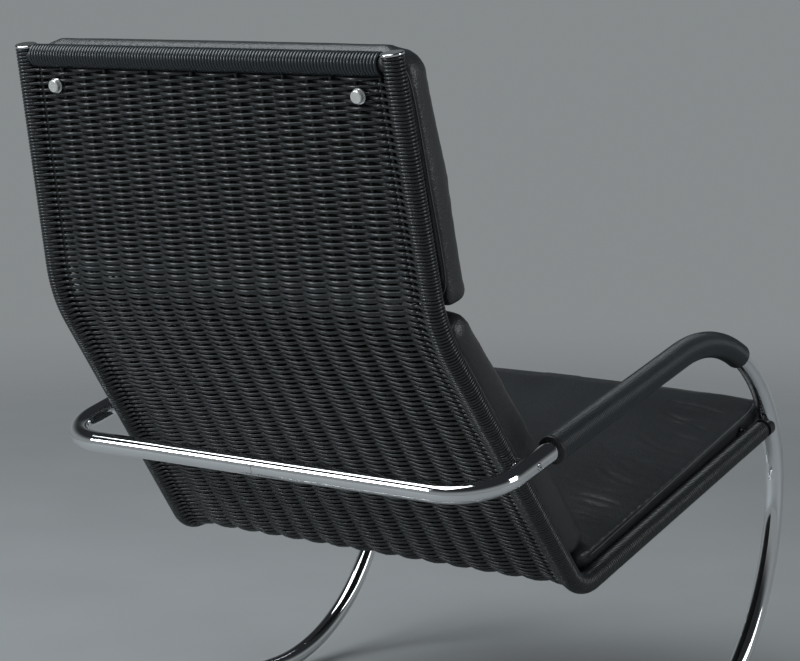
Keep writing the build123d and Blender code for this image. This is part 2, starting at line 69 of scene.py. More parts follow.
TUBE = 0.0095
STAKE = 0.00225
STAKES = 14
STAKE_SHARE = 0.1226
ROD_INSET = 0.0205
TOP_BAR = 0.0102
FRONT_BAR = 0.034

STRAND_WIDE = 0.0037
WEAVE_WIDE = 0.0046
STRAND_THICK = 0.0035
NECK_SPREAD = 0.42
NECK_SPREAD_AT = 0.284
NECK_SPREAD_REACH = 0.030
BAR_STRAND = 0.0045
BAR_PITCH = 0.0044
BAR_GAP = 0.0012

FRAME_HALF = 0.325
FRAME_TUBE = 0.0125
ARM_RISE = 13.5
ARM_STRAIGHT = 0.453
ARM_RADIUS = 0.219
ARM_WRAP_START = 0.148
ARM_WRAP_TURN = 43.0
ARM_STRAND = 0.0044
ARM_PITCH = 0.0033

rng = np.random.default_rng(7)


def heading(angle):
    """The (front, up) direction at an angle above the floor, in degrees."""
    return np.stack([np.cos(np.radians(angle)), np.sin(np.radians(angle))], -1)


NECK = BEND + LOWER_BACK * heading(BACK_ANGLE)
TOP = NECK + UPPER_BACK * heading(HEAD_ANGLE)


def place(front, up, x):
    """Side-view coordinates and x, as points of the chair's frame."""
    front, up, x = np.broadcast_arrays(front, up, x)
    return np.stack([x, REAR_BAR.y - front, up], -1)


def side_line():
    """The shell's side view from the top of its side tubes to the rail's front end.

    The heading is constant on three straight runs and grows evenly round two bends.
    The place is the running sum of the heading's direction, and the half width falls
    on straight lines between the corners.
    """
    neck_turn = BACK_ANGLE - HEAD_ANGLE
    seat_turn = 180 - BACK_ANGLE + SEAT_SLOPE
    neck_reach = NECK_RADIUS * np.tan(np.radians(neck_turn / 2))
    seat_reach = SEAT_RADIUS * np.tan(np.radians(seat_turn / 2))
    runs = [
        UPPER_BACK - neck_reach,
        NECK_RADIUS * np.radians(neck_turn),
        LOWER_BACK - neck_reach - seat_reach,
        SEAT_RADIUS * np.radians(seat_turn),
        RAIL - seat_reach,
    ]
    stops = np.concatenate([[0], np.cumsum(runs)])
    step = 0.0001
    s = np.arange(0, stops[-1], step)
    angles = np.array([HEAD_ANGLE, HEAD_ANGLE, BACK_ANGLE, BACK_ANGLE]) - 180
    angles = np.interp(s, stops, [*angles, SEAT_SLOPE, SEAT_SLOPE])
    run = np.cumsum(heading(angles), 0) * step
    halves = [
        TOP_HALF,
        NECK_HALF + (TOP_HALF - NECK_HALF) * neck_reach / UPPER_BACK,
        NECK_HALF + (BEND_HALF - NECK_HALF) * neck_reach / LOWER_BACK,
        BEND_HALF + (NECK_HALF - BEND_HALF) * seat_reach / LOWER_BACK,
        BEND_HALF + (RAIL_HALF - BEND_HALF) * seat_reach / RAIL,
        RAIL_HALF,
    ]
    return s, angles, TOP + run, np.interp(s, stops, halves)


LINE_S, LINE_ANGLE, LINE_AT, LINE_HALF = side_line()


def half_width(s):
    """Half the shell's width at arc length s, to the side tubes' centreline."""
    return np.interp(s, LINE_S, LINE_HALF)


def side_normal(s):
    """The (front, up) direction square to the side view at arc length s, towards the sitter."""
    return heading(np.interp(s, LINE_S, LINE_ANGLE) + 90)


def on_shell(s, x, out):
    """Points at arc length s, x across the chair and out from the tubes' plane."""
    s, x, out = np.broadcast_arrays(s, x, out)
    normal = side_normal(s)
    front = np.interp(s, LINE_S, LINE_AT[:, 0]) + out * normal[..., 0]
    up = np.interp(s, LINE_S, LINE_AT[:, 1]) + out * normal[..., 1]
    return place(front, up, x)


def shell_out(s, across, out):
    """Unit vectors that lean across and out by the given shares at arc length s."""
    s, across, out = np.broadcast_arrays(s, across, out)
    normal = side_normal(s)
    made = np.stack([across, -out * normal[..., 0], out * normal[..., 1]], -1)
    return made / np.linalg.norm(made, axis=-1, keepdims=True)


# --- Meshes from arrays ---


def solid(name, points, faces, uv=None, flat=()):
    """A mesh object from points (n, 3) and quads (m, 4), smooth except for the flat faces."""
    mesh = bpy.data.meshes.new(name)
    mesh.vertices.add(len(points))
    mesh.vertices.foreach_set("co", np.ascontiguousarray(points, np.float32).ravel())
    mesh.loops.add(faces.size)
    mesh.loops.foreach_set("vertex_index", np.ascontiguousarray(faces, np.int32).ravel())
    mesh.polygons.add(len(faces))
    mesh.polygons.foreach_set("loop_start", np.arange(0, faces.size, 4, dtype=np.int32))
    smooth = np.ones(len(faces), bool)
    smooth[list(flat)] = False
    mesh.polygons.foreach_set("use_smooth", smooth)
    if uv is not None:
        layer = mesh.uv_layers.new(name="strand")
        layer.data.foreach_set("uv", np.ascontiguousarray(uv, np.float32).ravel())
    mesh.update(calc_edges=True)
    made = bpy.data.objects.new(name, mesh)
    bpy.context.scene.collection.objects.link(made)
    return made


SIDES = 8


def strands(name, paths, out, wide, thick):
    """Strands with an oval section, one along each path.

    paths and out are (strands, places, 3): the centreline, and the direction away from
    what the strand lies on. A point of the skin is path + out * thick/2 * cos(a) +
    (heading x out) * wide/2 * sin(a), with a going once round in eight steps.
    UV is the length along the strand, from a random start, and the share of the turn.
    """
    count, places = paths.shape[:2]
    run = np.gradient(paths, axis=1)
    run /= np.linalg.norm(run, axis=-1, keepdims=True)
    across = np.cross(run, out)
    across /= np.linalg.norm(across, axis=-1, keepdims=True)
    out = np.cross(across, run)
    turn = np.linspace(0, 2 * np.pi, SIDES, endpoint=False)
    wide, thick = (np.broadcast_to(v, (count, places))[..., None, None] for v in (wide, thick))
    skin = (
        paths[:, :, None]
        + out[:, :, None] * np.cos(turn)[:, None] * thick / 2
        + across[:, :, None] * np.sin(turn)[:, None] * wide / 2
    )
    index = np.arange(count * places * SIDES).reshape(count, places, SIDES)
    after = np.roll(index, -1, 2)
    walls = np.stack([index[:, :-1], after[:, :-1], after[:, 1:], index[:, 1:]], -1)
    end_cap = np.array([[0, 1, 2, 3], [0, 3, 4, 7], [4, 5, 6, 7]])
    ends = index[:, -1][:, end_cap].reshape(-1, 4)
    starts = index[:, 0][:, end_cap[:, ::-1]].reshape(-1, 4)
    step = np.linalg.norm(np.diff(paths, axis=1), axis=-1)
    length = np.concatenate([np.zeros((count, 1)), np.cumsum(step, 1)], 1)
    length += rng.uniform(0, 50, (count, 1))
    share = np.arange(SIDES + 1) / SIDES
    u = np.broadcast_to(length[:, :, None], (count, places, SIDES))
    uv = np.zeros(walls.shape + (2,))
    uv[..., 0, 0] = uv[..., 1, 0] = u[:, :-1]
    uv[..., 2, 0] = uv[..., 3, 0] = u[:, 1:]
    uv[..., 0, 1] = uv[..., 3, 1] = share[:-1]
    uv[..., 1, 1] = uv[..., 2, 1] = share[1:]
    walls, uv = walls.reshape(-1, 4), uv.reshape(-1, 4, 2)
    faces = np.concatenate([walls, starts, ends])
    uv = np.concatenate([uv, np.zeros((len(starts) + len(ends), 4, 2))])
    return solid(name, skin.reshape(-1, 3), faces, uv, range(len(walls), len(faces)))


# --- Woven cane ---


def row_places():
    """Arc lengths of the cane's rows, from below the caps to the rail's front end.

    The rows lie closer on the lower back than at the top: their number is the running
    sum of one over the pitch, and whole numbers of it are looked up.
    """
    stops = [0.0, 0.12, 0.25, 0.33, 0.40, 0.50, 0.70, 0.80, 1.20]
    pitch = [4.15, 4.02, 3.70, 3.95, 4.05, 3.75, 3.50, 3.60, 4.00]
    number = np.cumsum(1 / np.interp(LINE_S, stops, np.array(pitch) / 1000))
    number *= LINE_S[1] - LINE_S[0]
    rows = np.arange(1, int(number[-1]))
    s = np.interp(rows - 0.5, number, LINE_S)
    return s + rng.normal(0, 0.00012, len(s))


ROWS = row_places()
WOVEN_FROM = TOP_BAR + TUBE + BAR_STRAND + STRAND_WIDE / 2
WOVEN_TO = LINE_S[-1] - FRONT_BAR - TUBE - BAR_STRAND - STRAND_WIDE / 2
WOVEN = (ROWS > WOVEN_FROM) & (ROWS < WOVEN_TO)
LIFT = STAKE + STRAND_THICK / 2


def woven_rows(name, low, high):
    """Rows of plain weave between two arc lengths.

    A row passes behind and before the stakes by turns, and the next row the other way:
    its lift is LIFT * (-1)^(row + stake) * cos(pi * share of the gap). The rods beside
    the side tubes count as the first and the last stake. The strands are wider near the
    neck, by a share of NECK_SPREAD * exp(-((s - at) / reach)^2).
    """
    number = np.flatnonzero(WOVEN & (ROWS >= low) & (ROWS < high))
    s = ROWS[number][:, None]
    half = half_width(s)
    stakes = (np.arange(STAKES) - (STAKES - 1) / 2) * STAKE_SHARE * half
    knots = np.concatenate([ROD_INSET - half, stakes, half - ROD_INSET], 1)
    at = np.linspace(0, STAKES + 1, (STAKES + 1) * 5 + 1)
    gap = np.minimum(at.astype(int), STAKES)
    share = at - gap
    x = knots[:, gap] * (1 - share) + knots[:, gap + 1] * share
    lift = LIFT * (-1.0) ** (number[:, None] + gap) * np.cos(np.pi * share)
    drift = rng.normal(0, 0.00028, knots.shape)
    ease = (1 - np.cos(np.pi * share)) / 2
    drift = drift[:, gap] * (1 - ease) + drift[:, gap + 1] * ease
    drift[:, 0] = drift[:, -1] = 0
    spread = NECK_SPREAD * np.exp(-(((s - NECK_SPREAD_AT) / NECK_SPREAD_REACH) ** 2))
    return strands(
        name,
        on_shell(s + drift, x, lift),
        shell_out(s + 0 * x, 0 * x, 1 + 0 * x),
        WEAVE_WIDE * (1 + spread),
        STRAND_THICK,
    )


def side_winding(name, side):
    """The rows' ends, wound round one side tube, each begun a little inside its row.

    A row leaves the edge rod on its own face, meets the tube's circle at a tangent and
    goes on round the outside. Rows beyond the weave are plain rings. In the plane
    across the tube, x = half + r * sin(a) and out = face * r * cos(a), from the tangent's
    angle, atan(-inset / lift) + acos(r / reach), to 255 degrees. On the way there it rises
    as t^2 * (2 - t).
    """
    radius = TUBE + STRAND_THICK / 2
    knot = 0 if side < 0 else STAKES + 1
    face = (-1.0) ** (np.arange(len(ROWS)) + knot)
    reach = np.hypot(ROD_INSET, LIFT)
    meet = np.arctan2(-ROD_INSET, LIFT) + np.arccos(radius / reach)
    turn = np.linspace(meet, np.radians(255), 24)
    lead = np.array([-0.12, 0.0, 0.12, 0.25, 0.45, 0.7])
    rise = lead**2 * (2 - lead) * (lead > 0)
    x = np.concatenate([ROD_INSET * (lead - 1) + radius * np.sin(meet) * lead, radius * np.sin(turn)])
    out = np.concatenate([LIFT + (radius * np.cos(meet) - LIFT) * rise, radius * np.cos(turn)])
    away_x = np.concatenate([np.sin(meet) * lead, np.sin(turn)])
    away_out = np.concatenate([1 + (np.cos(meet) - 1) * lead, np.cos(turn)])
    ring = np.linspace(-np.pi / 2, 1.5 * np.pi, len(x))
    woven, face = WOVEN[:, None], face[:, None]
    x = np.where(woven, x, radius * np.sin(ring))
    out = np.where(woven, out, radius * np.cos(ring)) * face
    away_x = np.where(woven, away_x, np.sin(ring))
    away_out = np.where(woven, away_out, np.cos(ring)) * face
    s = ROWS[:, None] + 0 * x
    paths = on_shell(s, side * (half_width(s) + x), out)
    wide = WEAVE_WIDE + (STRAND_WIDE - WEAVE_WIDE) * np.clip(np.arange(len(ring)) / 6, 0, 1)
    wide = np.where(woven, wide, STRAND_WIDE)
    thick = np.where(np.arange(len(ring)) == 0, 0.75, 1.0) * STRAND_THICK
    return strands(name, paths, shell_out(s, side * away_x, away_out), wide, thick)


# --- Windings ---


def wound(name, centres, first, second, radius, turns, wide, thick):
    """One strand wound round a centreline: centre + radius * (first * cos(a) + second * sin(a))."""
    angle = np.linspace(0, 2 * np.pi * turns, len(centres))[:, None]
    out = first * np.cos(angle) + second * np.sin(angle)
    path = centres + np.reshape(radius, (-1, 1)) * out
    return strands(name, path[None], out[None], wide, thick)


def bar_winding(name, s):
    """The thicker strand wound round a cross bar between the two side windings."""
    reach = half_width(s) - TUBE - STRAND_THICK - BAR_GAP
    turns = int(2 * reach / BAR_PITCH)
    x = np.linspace(-reach, reach, turns * 20)
    along = shell_out(s, 0, 1)
    down = np.cross([1, 0, 0], along)
    radius = TUBE + BAR_STRAND / 2
    return wound(name, on_shell(s, x, 0 * x), along, down, radius, turns, BAR_STRAND, BAR_STRAND)


def arm_line(share):
    """Centreline of the arm's winding, and the direction square to it in the side view.

    A straight run up the arm, then an arc about a centre below it.
    """
    straight = ARM_STRAIGHT - ARM_WRAP_START
    total = straight + ARM_RADIUS * np.radians(ARM_WRAP_TURN)
    run = share * total
    base = np.array([0.0, REAR_BAR.z])
    end = base + ARM_STRAIGHT * heading(ARM_RISE)
    centre = end - ARM_RADIUS * heading(ARM_RISE + 90)
    turned = np.maximum(run - straight, 0) / ARM_RADIUS
    normal = heading(ARM_RISE + 90 - np.degrees(turned))
    line = base + (ARM_WRAP_START + run)[:, None] * heading(ARM_RISE)
    arc = centre + ARM_RADIUS * normal
    return np.where((run > straight)[:, None], arc, line), normal, total


def arm_winding(name, side):
    """Fine winding round an arm, drawn in over its last turns to a blunt end."""
    total = arm_line(np.zeros(1))[2]
    turns = int(total / ARM_PITCH)
    share = np.linspace(0.003, 0.997, turns * 20)
    line, normal, _ = arm_line(share)
    centres = place(line[:, 0], line[:, 1], side * FRAME_HALF)
    first = np.stack([0 * share, -normal[:, 0], normal[:, 1]], -1)
    second = np.array([side * 1.0, 0, 0])
    left = (1 - share) * total
    thick = ARM_STRAND * np.clip(0.45 + 0.55 * np.sqrt(left / 0.004), 0, 1)
    radius = FRAME_TUBE + 0.0001 + thick / 2
    return wound(name, centres, first, second, radius, turns, ARM_PITCH * 1.04, thick[None])


# --- Cushions ---

# Each straight leg of the side view: start, heading and the turn from that to the sitter.
LEGS = {
    "seat": (BEND, SEAT_SLOPE, 90),
    "lower": (BEND, BACK_ANGLE, -90),
    "upper": (NECK, HEAD_ANGLE, -90),
}


def seam_loop(leg, start, length, halves, outs, power=9, count=420):
    """A closed seam: the superellipse |u|^p + |v|^p = 1, u across the chair and v along the leg."""
    turn = np.linspace(0, 2 * np.pi, count, endpoint=False)
    size = (np.abs(np.cos(turn)) ** power + np.abs(np.sin(turn)) ** power) ** (-1 / power)
    u, v = size * np.cos(turn), size * np.sin(turn)
    share = (1 + v) / 2
    half = halves[0] + (halves[1] - halves[0]) * share
    out = outs[0] + (outs[1] - outs[0]) * share
    corner, angle, square = LEGS[leg]
    run = start + length * share
    at = corner + run[:, None] * heading(angle) + out[:, None] * heading(angle + square)
    return place(at[:, 0], at[:, 1], half * u)


def points_of(mesh):
    """The mesh's vertices as an array."""
    co = np.empty(len(mesh.vertices) * 3, np.float32)
    mesh.vertices.foreach_get("co", co)
    return co.reshape(-1, 3).astype(float)


def move_points(mesh, points):
    mesh.vertices.foreach_set("co", points.astype(np.float32).ravel())
    mesh.update()


def normals_of(mesh):
    """The mesh's vertex normals as an array."""
    no = np.empty(len(mesh.vertices) * 3, np.float32)
    mesh.vertices.foreach_get("normal", no)
    return no.reshape(-1, 3).astype(float)


def eased(mesh, values, rounds, shares=(0.5,)):
    """Vertex values drawn towards the mean of their neighbours by each share in turn."""
    edges = np.empty(len(mesh.edges) * 2, np.int32)
    mesh.edges.foreach_get("vertices", edges)
    a, b = edges.reshape(-1, 2).T
    near = np.bincount(np.concatenate([a, b]), minlength=len(values))[:, None]
    for share in shares * rounds:
        total = np.stack(
            [
                np.bincount(a, values[b, k], len(values)) + np.bincount(b, values[a, k], len(values))
                for k in range(3)
            ],
            -1,
        )
        values = values + share * (total / near - values)
    return values


def finished(made):
    """The object's mesh with its modifiers worked in, and none left."""
    graph = bpy.context.evaluated_depsgraph_get()
    mesh = bpy.data.meshes.new_from_object(made.evaluated_get(graph))
    made.modifiers.clear()
    made.data = mesh
    return mesh


def distance_to(points, loop):
    """Distance of each point from the nearest point of a loop."""
    tree = KDTree(len(loop))
    for index, point in enumerate(loop):
        tree.insert(point, index)
    tree.balance()
    return np.array([tree.find(p)[2] for p in points])


SEAT_SIDE = 0.021
SEAT_BULGE = 0.005
OVER_RAIL = 0.0123
LEG_GAP = 0.0015
SEAT_CORNER = 0.016
CORNER_FROM = 0.483


def set_over_rails(points):
    """The seat cushion's sides squared and set out over the rails' windings, its edges let down.

    With d along the rail and n out from it, the CAD's side lies at
    rail - SEAT_SIDE + SEAT_BULGE * (1 - ((n - 17.5 mm) / 12 mm)^2), and goes to OVER_RAIL
    short of the rail. The lower edge comes down on the rows, and the front corners follow
    their SEAT_CORNER round.
    """
    side_view = np.stack([REAR_BAR.y - points[:, 1], points[:, 2]], -1) - BEND
    d, n = side_view @ heading(SEAT_SLOPE), side_view @ heading(SEAT_SLOPE + 90)
    rail = BEND_HALF + (RAIL_HALF - BEND_HALF) * d / RAIL
    side = rail - SEAT_SIDE + SEAT_BULGE * np.clip(1 - ((n - 0.0175) / 0.012) ** 2, 0, 1)
    to = np.minimum(rail - OVER_RAIL, FRAME_HALF - FRAME_TUBE - LEG_GAP)
    past = np.clip(d - CORNER_FROM, 0, SEAT_CORNER)
    inset = SEAT_CORNER - np.sqrt(np.maximum(SEAT_CORNER**2 - past**2, 0))
    side, to = side - inset, to - 0.4 * inset
    share = np.clip((np.abs(points[:, 0]) - side + 0.035) / 0.035, 0, 1) ** 2
    share *= np.clip((d - 0.02) / 0.03, 0, 1)
    fall = 0.003 * share * np.clip((n - 0.010) / 0.010, 0, 1)
    fall += 0.003 * (1 - share) * np.clip((n - 0.012) / 0.01, 0, 1) * np.clip(d / 0.4, 0, 1)
    lower_edge = share * np.clip((0.016 - n) / 0.008, 0, 1)
    fall += lower_edge * (0.002 + 0.004 * np.clip((d - 0.41) / 0.02, 0, 1))
    moved = points.copy()
    moved[:, 0] += np.sign(points[:, 0]) * (to - side) * share
    lean = heading(SEAT_SLOPE + 90)
    moved[:, 1] += fall * lean[0]
    moved[:, 2] -= fall * lean[1]
    return moved


WIDE_CREASE = 0.0041


def creased(mesh, leg, face, strokes):
    """Shallow creases pressed into a cushion's face.

    Each stroke is (run, x, run, x, depth, width) on its leg. The face sinks by
    depth * (exp(-(d / w)^2) - 0.55 * exp(-((d - 1.7 w) / w)^2)) at a signed distance d
    from the stroke, which fades at both ends as the square root of a half sine. Wide
    strokes bow one way and narrow ones the other.
    """
    start, angle, square = LEGS[leg]
    points, normals = points_of(mesh), normals_of(mesh)
    side_view = np.stack([REAR_BAR.y - points[:, 1], points[:, 2]], -1) - start
    here = np.stack([side_view @ heading(angle), points[:, 0]], -1)
    sink = np.zeros(len(points))
    for run, x, run_end, x_end, depth, width in strokes:
        way = np.array([run_end - run, x_end - x])
        size = np.linalg.norm(way)
        way /= size
        off = here - [run, x]
        share = np.clip(off @ way / size, 0, 1)
        bow = (0.08 if width > WIDE_CREASE else -0.04) * size * np.sin(np.pi * share)
        gap = off @ [-way[1], way[0]] - bow
        beyond = np.abs(off @ way - share * size)
        fade = np.sqrt(np.sin(np.pi * np.clip(share, 0.02, 0.98))) * np.exp(-((beyond / width) ** 2))
        shape = np.exp(-((gap / width) ** 2)) - 0.55 * np.exp(-((gap / width - 1.7) ** 2))
        sink += depth * fade * shape
    facing = np.clip((normals @ face - 0.55) / 0.35, 0, 1)
    move_points(mesh, points - normals * (sink * facing)[:, None])


VOXEL = 0.0052
HELD_NEAR = 0.0035
PRESSURE = 4
MOMENTS = 20


def stuffed(name, node, seam, rest_side, cap):
    """A cushion blown up from its CAD solid and held along its seam and its resting face.

    The solid is remeshed, eased, and given air pressure as cloth. A point's way is
    evened out with its neighbours' and limited to cap * tanh(way / cap), and the seam
    stays where it is sewn.
    """
    body = NODES[node].data.copy()
    work = bmesh.new()
    work.from_mesh(body)
    bmesh.ops.remove_doubles(work, verts=work.verts, dist=1e-5)
    work.to_mesh(body)
    work.free()
    made = bpy.data.objects.new(name, body)
    bpy.context.scene.collection.objects.link(made)
    remesh = made.modifiers.new("even", "REMESH")
    remesh.mode, remesh.voxel_size = "VOXEL", VOXEL
    mesh = finished(made)
    mesh.materials.clear()
    rest = eased(mesh, points_of(mesh), 8, (0.5, -0.53))
    if node == "seat_cushion":
        rest = set_over_rails(rest)
    move_points(mesh, rest)
    normals = normals_of(mesh)
    resting = normals @ np.array(rest_side) > 0.75
    near = distance_to(rest, seam)
    held = made.vertex_groups.new(name="held")
    held.add([int(i) for i in np.flatnonzero(resting | (near < HELD_NEAR))], 1.0, "REPLACE")
    cloth = made.modifiers.new("air", "CLOTH")
    cloth.settings.quality = 4
    cloth.settings.mass = 0.3
    cloth.settings.tension_stiffness = cloth.settings.compression_stiffness = 12
    cloth.settings.shear_stiffness = 5
    cloth.settings.bending_stiffness = 0.4
    cloth.settings.use_pressure = True
    cloth.settings.uniform_pressure_force = PRESSURE
    cloth.settings.shrink_min = -0.01
    cloth.settings.vertex_group_mass = "held"
    cloth.settings.effector_weights.gravity = 0
    for moment in range(1, MOMENTS + 1):
        bpy.context.scene.frame_set(moment)
    mesh = finished(made)
    bpy.context.scene.frame_set(1)
    way = eased(mesh, points_of(mesh) - rest, 20)
    long = np.linalg.norm(way, axis=1, keepdims=True) + 1e-9
    move_points(mesh, rest + way / long * cap * np.tanh(long / cap))
    finer = made.modifiers.new("finer", "SUBSURF")
    finer.levels = finer.render_levels = 1
    mesh = finished(made)
    mesh.polygons.foreach_set("use_smooth", np.ones(len(mesh.polygons), bool))
    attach(made, "root")
    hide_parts(node)
    return made


def sewn(cushion, seam, depth=0.0010, width=0.0048):
    """Draws the cover in along its seam, then lays a thin welt in it.

    The groove is depth * (1 - (d / width)^2)^2 at a distance d from the seam.
    """
    mesh = cushion.data
    tree = BVHTree.FromPolygons(
        [Vector(p) for p in points_of(mesh)], [tuple(f.vertices) for f in mesh.polygons]
    )
    found = [tree.find_nearest(Vector(p)) for p in seam]
    line = np.array([f[0] for f in found])
    out = np.array([f[1] for f in found])
    for _ in range(10):
        line = line * 0.5 + (np.roll(line, 1, 0) + np.roll(line, -1, 0)) / 4
        out = out * 0.5 + (np.roll(out, 1, 0) + np.roll(out, -1, 0)) / 4
    out /= np.linalg.norm(out, axis=1, keepdims=True)
    points, normals = points_of(mesh), normals_of(mesh)
    groove = depth * np.clip(1 - (distance_to(points, line) / width) ** 2, 0, 1) ** 2
    move_points(mesh, points - normals * groove[:, None])
    path = np.concatenate([line, line[:1]]) - np.concatenate([out, out[:1]]) * depth * 0.4
    out = np.concatenate([out, out[:1]])
    welt = strands(f"{cushion.name}_welt", path[None], out[None], 0.0016, 0.0018)
    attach(welt, "root")
    # Pale grey welt: partly the thread's own colour, partly a painted highlight along the seam.
    dress(welt, WELT_THREAD_AND_HIGHLIGHT)


# --- Materials ---


def link(tree, kind, settings=None, **inputs):
    """A node of the given kind. Inputs are sockets to join or plain values."""
    made = tree.nodes.new(kind)
    for key, value in (settings or {}).items():
        setattr(made, key, value)
    for key, value in inputs.items():
        socket = made.inputs[int(key[1:])] if key[0] == "_" else made.inputs[key.replace("_", " ")]
        if isinstance(value, bpy.types.NodeSocket):
            tree.links.new(value, socket)
        else:
            socket.default_value = value
    return made


def group(name, inputs, outputs):
    """An empty node group with float or vector sockets, and its input and output nodes."""
    tree = bpy.data.node_groups.new(name, "ShaderNodeTree")
    for key, kind in inputs.items():
        tree.interface.new_socket(key, in_out="INPUT", socket_type=kind)
    for key, kind in outputs.items():
        tree.interface.new_socket(key, in_out="OUTPUT", socket_type=kind)
    return tree, tree.nodes.new("NodeGroupInput"), tree.nodes.new("NodeGroupOutput")


def grade(tree, value, low, high):
    """A value from 0 to 1 spread between low and high."""
    return link(tree, "ShaderNodeMapRange", _0=value, _3=low, _4=high).outputs[0]


def uneven_group():
    """Uneven finish: slow patches and fine specks, each from 0 to 1."""
    tree, given, out = group(
        "uneven_finish",
        {"Place": "NodeSocketVector", "Patches": "NodeSocketFloat", "Specks": "NodeSocketFloat"},
        {"Patch": "NodeSocketFloat", "Speck": "NodeSocketFloat"},
    )
    for scale, target, detail in (("Patches", "Patch", 3.0), ("Specks", "Speck", 2.0)):
        noise = link(
            tree, "ShaderNodeTexNoise", Vector=given.outputs["Place"], Scale=given.outputs[scale],
            Detail=detail, Roughness=0.55,
        )
        tree.links.new(noise.outputs[0], out.inputs[target])
    return tree


def material(name):
    """A new material: its tree and its shader."""
    made = bpy.data.materials.new(name)
    made.use_nodes = True
    tree = made.node_tree
    return made, tree, tree.nodes["Principled BSDF"]


def blend(tree, share, low, high):
    """A colour between two by a share."""
    mix = link(tree, "ShaderNodeMix", {"data_type": "RGBA"}, _0=share, _6=(*low, 1), _7=(*high, 1))
    return mix.outputs[2]


def use_group(tree, made, **inputs):
    node = link(tree, "ShaderNodeGroup", {"node_tree": made})
    for key, value in inputs.items():
        if isinstance(value, bpy.types.NodeSocket):
            tree.links.new(value, node.inputs[key])
        else:
            node.inputs[key].default_value = value
    return node


UNEVEN = uneven_group()


def cane(name, dark, light, rough, stretch):
    """Dyed cane: fibres run along the strand, and worn places shine a little more."""
    made, tree, shader = material(name)
    where = link(tree, "ShaderNodeTexCoord")
    along = link(tree, "ShaderNodeMapping", Vector=where.outputs["UV"], Scale=(stretch, 9.0, 1.0))
    fibres = use_group(tree, UNEVEN, Place=along.outputs[0], Patches=1.3, Specks=6.0)
    broad = use_group(tree, UNEVEN, Place=where.outputs["Object"], Patches=14.0, Specks=260.0)
    tree.links.new(blend(tree, broad.outputs["Patch"], dark, light), shader.inputs["Base Color"])
    tree.links.new(
        grade(tree, fibres.outputs["Patch"], rough - 0.10, rough + 0.10), shader.inputs["Roughness"]
    )
    bump = link(tree, "ShaderNodeBump", Strength=0.35, Distance=0.0002, Height=fibres.outputs["Speck"])
    tree.links.new(bump.outputs[0], shader.inputs["Normal"])
    return made


def leather(name):
    """Black semi-gloss hide: pebbled grain from cells, pores and soft waves from noise."""
    made, tree, shader = material(name)
    where = link(tree, "ShaderNodeTexCoord").outputs["Object"]
    patches = use_group(tree, UNEVEN, Place=where, Patches=9.0, Specks=70.0)
    cells = link(
        tree, "ShaderNodeTexVoronoi", {"feature": "SMOOTH_F1"}, Vector=where, Scale=480.0, Smoothness=0.5
    )
    fine = link(tree, "ShaderNodeTexNoise", Vector=where, Scale=1500.0, Detail=2.0)
    tree.links.new(
        blend(tree, patches.outputs["Patch"], (0.0125, 0.0138, 0.0146), (0.0200, 0.0218, 0.0230)),
        shader.inputs["Base Color"],
    )
    tree.links.new(grade(tree, patches.outputs["Patch"], 0.30, 0.46), shader.inputs["Roughness"])
    grain = link(tree, "ShaderNodeBump", Strength=0.50, Distance=0.0006, Height=cells.outputs[0])
    pores = link(
        tree, "ShaderNodeBump", Strength=0.12, Distance=0.0003, Height=fine.outputs[0],
        Normal=grain.outputs[0],
    )
    soft = link(
        tree, "ShaderNodeBump", Strength=0.25, Distance=0.004, Height=patches.outputs["Speck"],
        Normal=pores.outputs[0],
    )
    tree.links.new(soft.outputs[0], shader.inputs["Normal"])
    return made


def chrome(name, joint=False):
    """Bright plated tube: faint smears, and a dark hairline where the two halves meet."""
    made, tree, shader = material(name)
    where = link(tree, "ShaderNodeTexCoord").outputs["Object"]
    smears = use_group(tree, UNEVEN, Place=where, Patches=22.0, Specks=300.0)
    colour = blend(tree, smears.outputs["Patch"], (0.78, 0.79, 0.80), (0.86, 0.87, 0.88))
    if joint:
        x = link(tree, "ShaderNodeSeparateXYZ", _0=where).outputs[0]
        middle = link(tree, "ShaderNodeMath", {"operation": "COMPARE"}, _0=x, _1=0.0, _2=0.00035)
        mix = link(
            tree, "ShaderNodeMix", {"data_type": "RGBA"},
            _0=middle.outputs[0], _6=colour, _7=(0.04, 0.04, 0.04, 1),
        )
        colour = mix.outputs[2]
    tree.links.new(colour, shader.inputs["Base Color"])
    tree.links.new(grade(tree, smears.outputs["Speck"], 0.035, 0.085), shader.inputs["Roughness"])
    shader.inputs["Metallic"].default_value = 1.0
    return made


def plain(name, low, high, rough, metallic=0.0, clear=False):
    """Plain painted, moulded or turned finish with an uneven sheen."""
    made, tree, shader = material(name)
    where = link(tree, "ShaderNodeTexCoord").outputs["Object"]
    marks = use_group(tree, UNEVEN, Place=where, Patches=30.0, Specks=420.0)
    tree.links.new(blend(tree, marks.outputs["Patch"], low, high), shader.inputs["Base Color"])
    tree.links.new(
        grade(tree, marks.outputs["Speck"], rough - 0.06, rough + 0.06), shader.inputs["Roughness"]
    )
    shader.inputs["Metallic"].default_value = metallic
    if clear:
        shader.inputs["Transmission Weight"].default_value = 0.9
        shader.inputs["IOR"].default_value = 1.46
    return made


def dress(made, finish):
    """Gives an object one material."""
    if made.data.materials:
        for slot in range(len(made.data.materials)):
            made.material_slots[slot].material = finish
    else:
        made.data.materials.append(finish)


